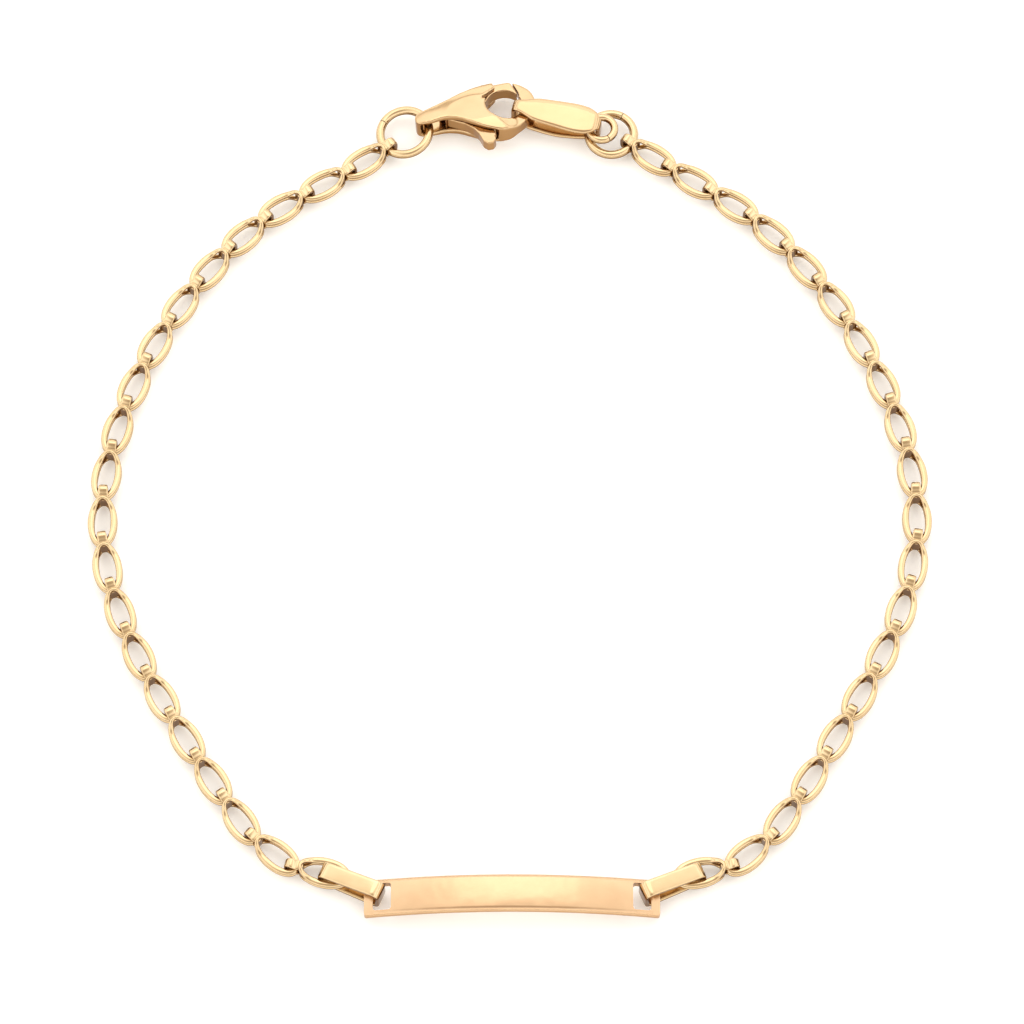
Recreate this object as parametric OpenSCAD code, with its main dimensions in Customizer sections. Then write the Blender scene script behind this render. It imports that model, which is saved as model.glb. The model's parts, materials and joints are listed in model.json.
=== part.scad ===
// Identity bracelet lying flat as a closed loop: a curved plate, two strap bails, two rows of
// folded double-loop links, jump rings, a folded tag and a lobster clasp with a sprung lever.
// Millimetres, +Z up. The plate is at -Y, the clasp at +Y, and the origin is under the middle.

/* [Chain] */
// Links on each side, from the clasp to the plate
links_side = 20; // [18:1:22]
// Distance from the seat of one link to the seat of the next
link_pitch = 3.65; // [3.45:0.05:3.9]
// Width of a link over its two branches
link_w = 2.16; // [2.12:0.02:2.3]
// Width of the opening inside a link
link_opening_w = 1.42; // [1.4:0.02:1.5]
// Width of the strap that bends over the link before
strap_w = 0.74; // [0.6:0.02:0.8]
// Thickness of the strap and of the bails
strap_t = 0.34; // [0.3:0.02:0.4]
// Thickness of one loop end where two of them lie on each other
loop_end_t = 0.34; // [0.33:0.01:0.4]
// Width of a loop end, seen from above
loop_end_w = 0.5; // [0.44:0.01:0.56]

/* [Plate] */
// Length of the plate
plate_l = 20.8; // [18:0.2:24]
// Width of the plate
plate_w = 2.7; // [2.5:0.1:3.4]
// Thickness of the plate
plate_t = 0.8; // [0.6:0.05:0.9]
// Rise of the plate's middle over its ends
plate_rise = 1.55; // [1:0.05:1.8]
// Radius of the plate's corners
plate_corner_r = 0.4; // [0.1:0.05:0.7]
// Bevel along the plate's upper edges
plate_bevel = 0.22; // [0.1:0.02:0.3]
// Metal left between a slot and the end of the plate
slot_end_w = 0.62; // [0.5:0.02:0.8]
// Length of a slot along the plate
slot_l = 1.28; // [1.2:0.02:1.5]

/* [Bails] */
// Length of the space inside a bail
bail_inner_l = 4.1; // [3.8:0.05:4.6]
// Width of the bail's strap
bail_w = 1.22; // [1:0.02:1.24]
// How much higher a bail stands at the plate than at the chain
bail_rise = 0.8; // [0.7:0.05:0.9]
// How far the bails have slid in their slots towards the clasp
bail_offset = 0.3; // [0:0.02:0.3]
// Direction of a bail away from the line of the plate, in degrees
bail_angle = 24; // [20:0.5:26]
// How far a bail has slid into the last link's opening
bail_slack = 1.05; // [0.7:0.05:1.1]

/* [Rings] */
// Outer diameter of the ring between the chain and the clasp
ring_left_d = 4.4; // [4.2:0.05:5]
// Wire of the ring between the chain and the clasp
ring_left_wire = 0.68; // [0.6:0.02:0.74]
// Outer diameter of the ring between the chain and the tag
ring_right_d = 4.1; // [3.9:0.05:4.6]
// Wire of the ring between the chain and the tag
ring_right_wire = 0.68; // [0.6:0.02:0.7]
// Outer diameter of the small spare ring in the tag
ring_small_d = 2.5; // [2.3:0.05:2.6]
// Wire of the small spare ring
ring_small_wire = 0.6; // [0.5:0.02:0.62]

/* [Tag] */
// Length of the tag from bend to bend, inside
tag_inner_l = 6.15; // [5.8:0.05:8]
// Width of the tag's strap at the clasp
tag_strap_w = 1; // [0.9:0.05:1.1]
// Width of the tag's rounded end
tag_end_w = 2.4; // [2:0.1:2.8]
// Thickness of the tag's metal
tag_t = 0.36; // [0.3:0.02:0.4]
// Height of the space between the two legs of the tag
tag_inner_h = 1.78; // [1.74:0.02:1.9]

/* [Clasp] */
// Distance from the clasp's ring post to the middle of its opening
clasp_reach = 6.5; // [6.3:0.1:7.2]
// Thickness of the clasp's body
clasp_h = 2.2; // [2:0.05:2.4]
// Thickness of each of the two side plates
clasp_plate_t = 0.5; // [0.4:0.02:0.52]
// Diameter of the opening that holds the tag
clasp_opening_d = 2.76; // [2.7:0.02:2.84]
// Thickness of the claw at its far end, where the tag goes round it
claw_end_h = 1; // [0.8:0.05:1.05]
// Width of the gate's metal, seen from above
gate_w = 0.66; // [0.6:0.02:0.7]
// Diameter of the lever's pin
pin_d = 0.5; // [0.4:0.02:0.56]
// Lean of the clasp about its length, in degrees
clasp_lean = 10; // [6:1:11]
// Direction of the clasp, in degrees
clasp_turn = 12; // [10:1:16]

/* [Clearances] */
// Clearance between a link's strap and the loop ends that it holds
link_clear = 0.3; // [0.26:0.02:0.36]
// Gap between the two loop ends of one link
loop_gap = 0.05; // [0.04:0.01:0.08]
// Vertical clearance of loop ends, wires and the plate inside a strap
lift_clear = 0.13; // [0.11:0.01:0.16]
// Clearance between a ring and what it hangs in
ring_clear = 0.1; // [0.08:0.01:0.12]
// Clearance of the lever beside the plates, the spine and the claw
lever_clear = 0.1; // [0.06:0.01:0.12]
// Radial clearance of the lever on its pin
pin_clear = 0.04; // [0.02:0.01:0.08]

/* [Hidden] */
$fn = 48;
link_numbers = [for (k = [1 : links_side]) str(k < 10 ? "0" : "", k)];

gold = [0.89, 0.73, 0.49];
rose_gold = [0.91, 0.70, 0.53];

// Share of a side from the clasp to the plate, then the direction of the left and of the right
// row there, in degrees: 0 leads away from the clasp, 90 leads down to the plate
route = [
    [0.0, 37, 36], [0.1, 29, 31], [0.2, 48, 48], [0.3, 60, 60], [0.4, 71, 70], [0.5, 85, 84],
    [0.6, 106, 105], [0.7, 119, 119], [0.8, 122, 121], [0.9, 126, 125], [0.95, 156, 156],
    [1.0, 179, 179]
];
route_left = [for (r = route) [r[0], r[1]]];
route_right = [for (r = route) [r[0], r[2]]];

// Heights shared by the links and the bails
stack_h = 2 * loop_end_t + loop_gap;
inner_h = stack_h + 2 * lift_clear;
link_h = inner_h + 2 * strap_t;
mid_z = link_h / 2;

// A point at this distance in this direction
function polar(r, a) = [r * cos(a), r * sin(a)];
// A plane vector turned by an angle
function turned(v, a) = [v[0] * cos(a) - v[1] * sin(a), v[0] * sin(a) + v[1] * cos(a)];
function total(v, i = 0) = i < len(v) ? v[i] + total(v, i + 1) : [0, 0];
// Points of an arc, both ends included
function arc(c, r, from, to, steps = 5) =
    [for (i = [0 : steps]) c + polar(r, from + (to - from) * i / steps)];
function between(a, b, c, d, t) = 0.5 * (2 * b + (c - a) * t
    + (2 * a - 5 * b + 4 * c - d) * t * t + (3 * b - a - 3 * c + d) * t * t * t);
// A smooth closed line through the points
function smooth_loop(p, steps) = [
    for (i = [0 : len(p) - 1], s = [0 : steps - 1])
        between(p[(i + len(p) - 1) % len(p)], p[i], p[(i + 1) % len(p)], p[(i + 2) % len(p)],
                s / steps)
];
function unit(v) = v / norm(v);
function bearing(v) = atan2(v[1], v[0]);
// Points of the arc that rounds the corner q between p and s
function corner(p, q, s, r) = let (
    u = unit(p - q), v = unit(s - q), half = acos(u * v) / 2,
    c = q + unit(u + v) * r / sin(half),
    from = bearing(q + u * r / tan(half) - c), to = bearing(q + v * r / tan(half) - c),
    turn = to - from > 180 ? to - from - 360 : to - from < -180 ? to - from + 360 : to - from
) arc(c, r, from, from + turn);
// A closed outline with every corner rounded
function rounded(p, r) = [
    for (i = [0 : len(p) - 1])
        each corner(p[(i + len(p) - 1) % len(p)], p[i], p[(i + 1) % len(p)], r)
];
function rectangle(l, w) = [[l, w], [-l, w], [-l, -w], [l, -w]] / 2;
function mirrored(p) = [for (i = [len(p) - 1 : -1 : 0]) [p[i][0], -p[i][1]]];

// Places along the two rows
// The right row lies a little tauter than the left one
right_taut = 0.004;
function heading(side, k) = side < 0
    ? 180 + lookup((k - 0.5) / links_side, route_left)
    : -lookup((k - 0.5) / links_side, route_right);
function row_pitch(side) = link_pitch + (side < 0 ? 0 : right_taut);
function row_steps(side, first, last) =
    [for (k = [first : 1 : last]) polar(row_pitch(side), heading(side, k))];
left_row = total(row_steps(-1, 1, links_side));
right_row = total(row_steps(1, 1, links_side));

// Seats at the plate: inside a bail's bend in the slot, and its other bend in the last link
seat_x = plate_l / 2 - slot_end_w - ring_clear - bail_w / 2 * sin(bail_angle);
last_left = [-seat_x, bail_offset] + polar(bail_inner_l, 180 - bail_angle)
    + polar(bail_slack, heading(-1, links_side));
last_right = [seat_x, bail_offset] + polar(bail_inner_l, bail_angle)
    + polar(bail_slack, heading(1, links_side));

// From the first left link's seat to the first right link's seat, through rings, clasp and tag
ring_left_r = ring_left_d / 2 - ring_left_wire;
ring_right_r = ring_right_d / 2 - ring_right_wire;
ring_small_r = ring_small_d / 2 - ring_small_wire;
post_r = 0.26;
tag_angle = -14;
// A link's strap keeps this much off a ring, so that a strap at an angle clears it too
ring_seat_clear = ring_clear + 0.06;
ring_left_centre = polar(ring_left_r - ring_seat_clear, 46);
post_centre = ring_left_centre + polar(ring_left_r - ring_clear - post_r, 20);
// Where the tag's bend stands in the clasp's opening, from the opening's middle
tag_bend_x = 0.9;
tag_bend_y = -0.36;
// A ring keeps this far from the middle of the tag's flat bend, so that it clears both edges
tag_bend_clear = 2 * ring_clear + 0.02;
tag_start = post_centre + turned([clasp_reach + tag_bend_x, tag_bend_y], clasp_turn);
tag_end = tag_start + polar(tag_inner_l, tag_angle);
ring_right_centre = tag_end + polar(ring_right_r - tag_bend_clear, -10);
clasp_span = ring_right_centre + polar(ring_right_r - ring_seat_clear, -27);

// The two rows swing about the plate's seats until they meet the clasp's group
foot_span = last_right - last_left - clasp_span;
left_l = norm(left_row);
right_l = norm(right_row);
foot_l = norm(foot_span);
foot_turn = acos((left_l * left_l + foot_l * foot_l - right_l * right_l) / (2 * left_l * foot_l));
left_up = atan2(foot_span[1], foot_span[0]) + foot_turn;
left_swing = left_up - atan2(-left_row[1], -left_row[0]);
first_left = last_left + turned(-left_row, left_swing);
first_right = first_left + clasp_span;
right_swing = atan2(first_right[1] - last_right[1], first_right[0] - last_right[0])
    - atan2(-right_row[1], -right_row[0]);

// From here on a piece is drawn about the origin under the middle of the whole bracelet
module placed(at = [0, 0, 0]) {
    translate([shift_x + at[0], shift_y + at[1], at[2]]) children();
}

// A link, seen from above: +X leads from its strap's seat to its loop ends
link_near_x = 0.5;
crotch_x = 1.0;
opening_far_x = link_pitch + link_clear;
link_far_x = opening_far_x + loop_end_w;
oval_mid_x = (link_near_x + link_far_x) / 2;
opening_wide_x = opening_far_x - 1.35;
function oval_half(t) = link_w / 2 * pow(max(0, 1 - pow(abs(t), 2.1)), t < 0 ? 0.66 : 0.48);
oval_side = [
    for (i = [0 : 20]) let (t = -cos(i * 9))
        if (i > 9 || oval_half(t) > strap_w / 2)
            [oval_mid_x + t * (link_far_x - link_near_x) / 2, oval_half(t)]
];
strap_side = [[-strap_t, strap_w / 2], [link_near_x - 0.1, strap_w / 2]];
link_side = concat(strap_side, oval_side);
link_outline = concat(link_side, mirrored([for (i = [0 : len(link_side) - 2]) link_side[i]]));
arch_side = [
    for (i = [0 : 8]) let (s = 1 - i / 8)
        [opening_wide_x - s * (opening_wide_x - crotch_x), link_opening_w / 2 * (1 - pow(s, 2))]
];
round_side = [
    for (i = [1 : 8]) let (t = sin(i * 11.25))
        [opening_wide_x + t * (opening_far_x - opening_wide_x),
         link_opening_w / 2 * pow(max(0, 1 - pow(t, 2.3)), 1 / 2.3)]
];
opening_side = concat(arch_side, round_side);
opening_outline = concat(opening_side, mirrored([for (i = [1 : 15]) opening_side[i]]));

// A link from the side: two arms leave the strap's bend and close at the loop ends
bend_r = 0.5;
bend_inner_r = 0.22;
valley_d = 0.1;
crest_x = 0.85;
arm_flat_x = 2.2;
arm_upper = concat(
    arc([bend_r - strap_t, mid_z - bend_r], bend_r, 180, 90),
    [[0.3, mid_z - 0.02], [0.46, mid_z - valley_d], [0.62, mid_z - valley_d + 0.02]],
    [[crest_x, mid_z - 0.1], [1.1, inner_h / 2 + 0.05], [1.5, stack_h / 2 + 0.04]],
    [[arm_flat_x, stack_h / 2], [link_far_x - 0.12, stack_h / 2]],
    [[link_far_x + 0.01, stack_h / 2 - 0.15], [link_far_x + 0.01, loop_gap / 2]]
);
arm_lower = concat(
    [[1.35, loop_gap / 2], [crest_x, inner_h / 2]],
    arc([bend_inner_r, inner_h / 2 - bend_inner_r], bend_inner_r, 90, 180)
);
arm_profile = concat(arm_upper, arm_lower);
link_profile = concat(arm_profile, mirrored(arm_profile));

module link_solid() {
    translate([0, 0, mid_z])
        intersection() {
            linear_extrude(height = link_h + 1, center = true)
                difference() {
                    polygon(link_outline);
                    polygon(opening_outline);
                }
            rotate([90, 0, 0])
                linear_extrude(height = link_w + 1, center = true) polygon(link_profile);
        }
}

// The seat of link k, swung with its row
function link_seat(side, k) = side < 0
    ? first_left + turned(total(row_steps(side, 1, k - 1)), left_swing)
    : first_right + turned(total(row_steps(side, 1, k - 1)), right_swing);
function link_turn(side, k) = heading(side, k) + (side < 0 ? left_swing : right_swing);

module link(side, k) {
    seat = link_seat(side, k);
    color(gold)
        placed([seat[0], seat[1], 0]) rotate(link_turn(side, k)) link_solid();
}

// The plate is a piece of a wide ring, cut to its length with rounded corners
plate_r = (plate_l * plate_l / 4 + plate_rise * plate_rise) / (2 * plate_rise);
plate_low = strap_t + lift_clear;
plate_half_angle = asin(plate_l / 2 / plate_r) + 1;
slot_w = bail_w + 0.74;
slot_x = plate_l / 2 - slot_end_w - slot_l / 2;

module id_plate() {
    low_r = plate_r - plate_rise;
    half_w = plate_w / 2;
    color(rose_gold)
        placed([0, 0, plate_low - low_r])
            difference() {
                intersection() {
                    rotate([90, 0, 0]) rotate([0, 0, 90 - plate_half_angle])
                        rotate_extrude(angle = 2 * plate_half_angle, $fn = 200)
                            polygon([
                                [plate_r, -half_w],
                                [plate_r + plate_t - plate_bevel, -half_w],
                                [plate_r + plate_t, plate_bevel - half_w],
                                [plate_r + plate_t, half_w - plate_bevel],
                                [plate_r + plate_t - plate_bevel, half_w],
                                [plate_r, half_w]
                            ]);
                    translate([0, 0, low_r - 2])
                        linear_extrude(height = plate_rise + plate_t + 4)
                            polygon(rounded(rectangle(plate_l, plate_w), plate_corner_r));
                }
                for (side = [-1, 1])
                    translate([side * slot_x, 0, low_r - 2])
                        linear_extrude(height = plate_rise + plate_t + 4)
                            polygon(rounded(rectangle(slot_l, slot_w), 0.2));
            }
}

// A closed strap with round bends, on its side: the space inside it starts at X = 0 and is
// h0 high there and h1 high at its other end, over a flat lower leg
function strap_space(l, h0, h1, grow) =
    [[-grow, -grow], [l + grow, -grow], [l + grow, h1 + grow], [-grow, h0 + grow]];

module strap_profile(l, h0, h1, t) {
    bend = 0.24;
    difference() {
        polygon(rounded(strap_space(l, h0, h1, t), bend + t));
        polygon(rounded(strap_space(l, h0, h1, 0), bend));
    }
}

module bail(side) {
    angle = side < 0 ? 180 - bail_angle : bail_angle;
    color(gold)
        placed([side * seat_x, bail_offset, strap_t]) rotate(angle) rotate([90, 0, 0])
            linear_extrude(height = bail_w, center = true)
                strap_profile(bail_inner_l, inner_h + bail_rise, inner_h, strap_t);
}

module jump_ring(centre, z, d, wire, tilt = [0, 0, 0]) {
    color(gold)
        placed([first_left[0] + centre[0], first_left[1] + centre[1], z])
            rotate(tilt) rotate_extrude() translate([d / 2 - wire / 2, 0]) circle(d = wire);
}

// Heights of the clasp's group: its far edge touches the surface that the bracelet lies on
gate_rise = clasp_opening_d / 2 + gate_w;
clasp_z = clasp_h / 2 * cos(clasp_lean) + gate_rise * sin(clasp_lean);
tag_low = 0.1;
ring_left_z = (mid_z + clasp_z) / 2 - 0.1;
ring_left_tilt = [-1, -8, 0];
ring_right_z = tag_low + tag_t + ring_clear + ring_right_wire / 2;
ring_small_z = ring_right_z + ring_right_wire / 2 + ring_clear + ring_small_wire / 2;
ring_small_centre = tag_end + polar(ring_small_r - tag_bend_clear, tag_angle);

// The tag's outlines from above: distance from its left end as a share of its length, and the
// half width of the upper and of the lower leg as shares from the strap's to the round end's
tag_outer_l = tag_inner_l + 2 * tag_t;
tag_shape = [
    [0, 0, 0], [0.1, 0.05, 0.05], [0.25, 0.6, 0.3], [0.5, 0.86, 0.45], [0.75, 1, 0.2],
    [0.9, 0.88, -0.15], [0.97, 0.5, -0.25], [1, -0.1, -0.25]
];
function tag_outline(leg) = let (
    half = [
        for (s = tag_shape)
            [s[0] * tag_outer_l, (tag_strap_w + (tag_end_w - tag_strap_w) * s[leg]) / 2]
    ]
) smooth_loop(concat(half, mirrored(half)), 3);

module clasp_tag() {
    color(rose_gold)
        placed([first_left[0] + tag_start[0], first_left[1] + tag_start[1], tag_low + tag_t])
            rotate(tag_angle)
                intersection() {
                    translate([-tag_t, 0, 0]) {
                        translate([0, 0, tag_inner_h - 0.02])
                            linear_extrude(height = 1) polygon(tag_outline(1));
                        translate([0, 0, -1])
                            linear_extrude(height = tag_inner_h + 2) polygon(tag_outline(2));
                    }
                    rotate([90, 0, 0])
                        linear_extrude(height = 4, center = true)
                            strap_profile(tag_inner_l, tag_inner_h, tag_inner_h, tag_t);
                }
}

// The clasp in its own frame: the ring post at the origin, the opening's middle on +X
opening_r = clasp_opening_d / 2;
slot_h = clasp_h - 2 * clasp_plate_t;
pivot = [2.5, 0.05];
hub_r = 0.5;
seam_r = norm([clasp_reach + 1.22, 1.22] - pivot);
claw_x = clasp_reach - 6.46;
clasp_outline = smooth_loop([
    [-post_r - 0.02, 0], [-0.2, -0.34], [0.1, -0.52], [0.9, -0.56], [1.9, -0.5], [2.9, -0.75],
    [3.8, -1.32], [4.8 + claw_x, -1.98], [6.1 + claw_x, -2.4], [7.35 + claw_x, -2.05],
    [8.45 + claw_x, -1.1], [clasp_reach + gate_rise + 0.35, 0],
    [clasp_reach + gate_rise + 0.02, 1.1], [clasp_reach + 1, gate_rise - 0.1],
    [clasp_reach - 0.25, gate_rise], [4.9 + claw_x, 1.92], [3.5, 1.55], [2.1, 1.05],
    [0.9, 0.74], [0.1, 0.52], [-0.2, 0.34]
], 4);

// The origin lies midway between the outermost seats, and between the plate's front edge and the
// clasp's topmost point
claw_side = [
    [-1, clasp_h / 2], [clasp_reach - 0.9, clasp_h / 2],
    [clasp_reach + 0.7, claw_end_h / 2], [clasp_reach + 3, claw_end_h / 2]
];
claw_taper = [claw_side[1], claw_side[2]];
function outline_y(p) =
    turned([p[0], p[1] * cos(clasp_lean) + lookup(p[0], claw_taper) * sin(clasp_lean)], clasp_turn)[1];
top_y = first_left[1] + post_centre[1] + max([for (p = clasp_outline) outline_y(p)]);
shift_y = (plate_w / 2 - top_y) / 2;
shift_x = -(min([for (k = [1 : links_side]) link_seat(-1, k)[0]])
    + max([for (k = [1 : links_side]) link_seat(1, k)[0]])) / 2;

module in_clasp_frame() {
    placed([first_left[0] + post_centre[0], first_left[1] + post_centre[1], clasp_z])
        rotate([0, 0, clasp_turn]) rotate([-clasp_lean, 0, 0])
            children();
}

// What the gate takes up, seen from above, kept this far inside its seams
module gate_zone(inset, from_x) {
    difference() {
        intersection() {
            polygon(clasp_outline);
            translate(pivot) circle(r = seam_r - inset, $fn = 96);
            translate([from_x + inset, 0.6]) square([5, 3]);
        }
        translate([clasp_reach, 0]) circle(r = opening_r);
    }
}

module clasp_body() {
    horn_x = clasp_reach - 0.35;
    spine_x = clasp_reach - 1.5;
    color(gold)
        in_clasp_frame()
            difference() {
                intersection() {
                    linear_extrude(height = clasp_h, center = true)
                        difference() {
                            polygon(clasp_outline);
                            translate([clasp_reach, 0]) circle(r = opening_r);
                        }
                    rotate([90, 0, 0])
                        linear_extrude(height = 8, center = true)
                            polygon(concat(claw_side, mirrored(claw_side)));
                }
                // The slot between the plates, round the post, the spine and the claw
                linear_extrude(height = slot_h, center = true)
                    polygon([
                        [post_r - 0.2, 2], [post_r - 0.2, 0.45], [post_r, 0.25], [post_r, -0.25],
                        [post_r - 0.2, -0.45], [post_r - 0.2, -2.5], [3.9, -4], [clasp_reach - 0.95, -3.2],
                        [clasp_reach - 0.85, -0.9], [clasp_reach, 0], [clasp_reach + 0.2, 0.6],
                        [clasp_reach + 0.2, 3], [spine_x, 3], [spine_x, 1.3], [3.6, 0.95],
                        [2.6, 0.72], [1.6, 0.5], [1.6, 2]
                    ]);
                linear_extrude(height = clasp_h + 1, center = true)
                    difference() {
                        gate_zone(0, spine_x);
                        polygon([
                            [spine_x - 1, 3], [horn_x - 0.3, 3], [horn_x, 1.45],
                            [horn_x - 0.85, 0.9], [spine_x - 1, 0.5]
                        ]);
                    }
                translate([pivot[0], pivot[1], 0])
                    cylinder(d = pin_d, h = pin_l, center = true);
            }
}

pin_l = slot_h + 1.2 * clasp_plate_t;

module clasp_pin() {
    color(gold)
        in_clasp_frame()
            translate([pivot[0], pivot[1], 0])
                cylinder(d = pin_d - 0.02, h = pin_l - 0.04, center = true);
}

module clasp_lever() {
    blade_h = slot_h - 2 * lever_clear;
    spine_x = clasp_reach - 1.5;
    tab = [4.75, -2.95];
    color(rose_gold)
        in_clasp_frame()
            difference() {
                union() {
                    linear_extrude(height = blade_h, center = true)
                        difference() {
                            union() {
                                translate(pivot) circle(r = hub_r);
                                polygon([
                                    pivot + [-0.2, -0.45], [3.3, -1.0], [3.85, -1.55],
                                    tab + [-0.6, 0.85], tab + [-0.4, 0.1], tab + [-0.12, -0.22],
                                    tab + [0.3, -0.24], tab + [0.55, 0.05], tab + [0.62, 0.6],
                                    [clasp_reach - 1.1, -1.7], [clasp_reach - 1.05, -0.9],
                                    [clasp_reach - 0.9, 0.9], [spine_x + lever_clear, 1.3],
                                    [spine_x - 0.1, 1.15], [3.6, 0.8], pivot + [0, 0.5]
                                ]);
                            }
                            translate([clasp_reach, 0]) circle(r = opening_r + 0.05);
                        }
                    linear_extrude(height = 0.7, center = true) gate_zone(lever_clear, spine_x);
                }
                translate([pivot[0], pivot[1], 0])
                    cylinder(d = pin_d + 2 * pin_clear, h = slot_h + 1, center = true);
            }
}

id_plate();
bail(-1);  // bail_left
bail(1);  // bail_right
jump_ring(ring_left_centre, ring_left_z, ring_left_d, ring_left_wire, ring_left_tilt);  // ring_left
jump_ring(ring_right_centre, ring_right_z, ring_right_d, ring_right_wire);  // ring_right
jump_ring(ring_small_centre, ring_small_z, ring_small_d, ring_small_wire);  // ring_small
clasp_tag();
clasp_body();
clasp_lever();
clasp_pin();
for (k = [1 : links_side]) {
    link(-1, k);
    link(1, k);
}
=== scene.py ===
"""Dresses the identity bracelet: polished gold links, bails, rings, tag, clasp and plate.

Pieces are modelled in millimetres about their own origins, then set in the frame in metres.
"""

import json
import logging
import math
from dataclasses import dataclass, field
from enum import Enum
from typing import Any, Callable, Sequence

import bmesh
import bpy
from mathutils import Matrix, Vector

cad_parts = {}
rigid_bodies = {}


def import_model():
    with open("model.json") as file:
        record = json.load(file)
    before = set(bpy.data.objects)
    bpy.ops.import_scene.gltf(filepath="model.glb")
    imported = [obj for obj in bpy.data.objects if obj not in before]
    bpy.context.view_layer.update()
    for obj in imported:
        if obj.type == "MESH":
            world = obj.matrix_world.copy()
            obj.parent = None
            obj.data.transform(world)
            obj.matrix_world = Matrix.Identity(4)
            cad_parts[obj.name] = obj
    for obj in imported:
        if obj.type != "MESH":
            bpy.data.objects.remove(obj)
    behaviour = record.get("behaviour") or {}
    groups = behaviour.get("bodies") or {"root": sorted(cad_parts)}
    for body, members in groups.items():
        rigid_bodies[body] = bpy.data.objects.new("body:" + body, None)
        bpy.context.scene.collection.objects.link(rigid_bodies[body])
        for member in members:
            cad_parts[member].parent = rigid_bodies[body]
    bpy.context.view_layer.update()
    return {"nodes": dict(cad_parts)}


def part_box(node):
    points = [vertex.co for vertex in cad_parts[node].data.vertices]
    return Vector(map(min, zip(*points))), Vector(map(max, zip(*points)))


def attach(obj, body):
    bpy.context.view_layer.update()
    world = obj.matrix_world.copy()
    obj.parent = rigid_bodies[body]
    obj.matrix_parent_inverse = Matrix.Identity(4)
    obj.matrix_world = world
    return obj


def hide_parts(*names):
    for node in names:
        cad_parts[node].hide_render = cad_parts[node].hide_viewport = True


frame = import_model()

log = logging.getLogger("bracelet")
MM = 0.001
ORIGIN = (0.0, 0.0, 0.0)
# Faces that meet at less than this angle are shaded as one surface
SHADE_ANGLE = math.radians(40)


class Body(Enum):
    """The moving bodies of the frame."""

    BRACELET = "bracelet"
    LEVER = "lever"


class Slot(Enum):
    """The material slots of the record."""

    GOLD = "gold"
    ROSE_GOLD = "rose_gold"


class Cut(Enum):
    """How one closed piece acts on another."""

    ADD = "UNION"
    TAKE_AWAY = "DIFFERENCE"
    KEEP_SHARED = "INTERSECT"


# The workbench: Blender's tools with the settings that they need without a window


def hold(*objects: bpy.types.Object) -> None:
    """Selects these objects alone and makes the first one active.

    Args:
        objects: The objects to select; with none, nothing stays selected.
    """
    if bpy.context.object and bpy.context.object.mode != "OBJECT":
        bpy.ops.object.mode_set(mode="OBJECT")
    bpy.ops.object.select_all(action="DESELECT")
    for item in objects:
        item.select_set(True)
    if objects:
        bpy.context.view_layer.objects.active = objects[0]


def edit(obj: bpy.types.Object) -> None:
    """Opens an object in edit mode with all of it selected.

    Args:
        obj: The object.
    """
    hold(obj)
    bpy.ops.object.mode_set(mode="EDIT")
    bpy.ops.mesh.select_all(action="SELECT")


def slide(offset: Sequence[float]) -> None:
    """Moves the selection by an offset."""
    bpy.ops.transform.translate(value=tuple(offset))


def turn(degrees: float, axis: str, centre: Sequence[float]) -> None:
    """Turns the selection about an axis through a point, counter-clockwise seen from its tip.

    Args:
        degrees: The angle.
        axis: X, Y or Z.
        centre: The point that stays where it is.
    """
    # Without a window the operator turns the other way
    bpy.ops.transform.rotate(
        value=-math.radians(degrees), orient_axis=axis, orient_type="GLOBAL",
        center_override=tuple(centre),
    )


def stretch(factors: Sequence[float], centre: Sequence[float]) -> None:
    """Scales the selection along X, Y and Z about a point."""
    bpy.ops.transform.resize(value=tuple(factors), center_override=tuple(centre))


def pick_faces(test: Callable[[Vector, Vector], bool]) -> None:
    """Selects the faces of the open mesh that pass a test.

    Args:
        test: Gets a face's middle and normal, and says whether the face is taken.
    """
    bpy.ops.mesh.select_mode(type="FACE")
    bpy.ops.mesh.select_all(action="DESELECT")
    data = bpy.context.edit_object.data
    for face in bmesh.from_edit_mesh(data).faces:
        if test(face.calc_center_median(), face.normal):
            face.select_set(True)
    bmesh.update_edit_mesh(data)


def close_up(obj: bpy.types.Object) -> bpy.types.Object:
    """Turns all faces outwards and leaves edit mode.

    Args:
        obj: The object that is being edited.

    Returns:
        The same object.
    """
    bpy.ops.mesh.select_all(action="SELECT")
    bpy.ops.mesh.normals_make_consistent(inside=False)
    bpy.ops.object.mode_set(mode="OBJECT")
    return obj


def modify(obj: bpy.types.Object, kind: str, **settings: Any) -> None:
    """Adds a modifier with its settings and applies it.

    Args:
        obj: The object to change.
        kind: The modifier's type, such as BEVEL.
        settings: The modifier's properties by name.
    """
    hold(obj)
    modifier = obj.modifiers.new(kind.title(), kind)
    for key, value in settings.items():
        setattr(modifier, key, value)
    bpy.ops.object.modifier_apply(modifier=modifier.name)


def combine(obj: bpy.types.Object, other: bpy.types.Object, how: Cut) -> None:
    """Lets another closed piece act on an object, and deletes that other piece.

    Args:
        obj: The piece that stays.
        other: The piece that is used up.
        how: Whether it is added, taken away, or only what the two share is kept.
    """
    modify(obj, "BOOLEAN", object=other, operation=how.value, solver="EXACT")
    bpy.data.objects.remove(other)


def smooth(obj: bpy.types.Object, levels: int = 1) -> bpy.types.Object:
    """Rounds the facets of a cage and shades it smooth.

    Args:
        obj: The piece.
        levels: Levels of subdivision; 0 leaves the mesh as it is.

    Returns:
        The same piece.
    """
    if levels:
        modify(obj, "SUBSURF", levels=levels, render_levels=levels)
    hold(obj)
    bpy.ops.object.shade_smooth_by_angle(angle=SHADE_ANGLE)
    return obj


def set_in_frame(obj: bpy.types.Object, place: Matrix) -> None:
    """Puts a piece that was modelled in millimetres where it belongs, with its place in its mesh.

    Args:
        obj: The piece, about its own origin.
        place: Its place in the frame, in metres.
    """
    hold(obj)
    obj.matrix_world = place @ Matrix.Scale(MM, 4)
    bpy.ops.object.transform_apply(location=True, rotation=True, scale=True)


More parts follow.
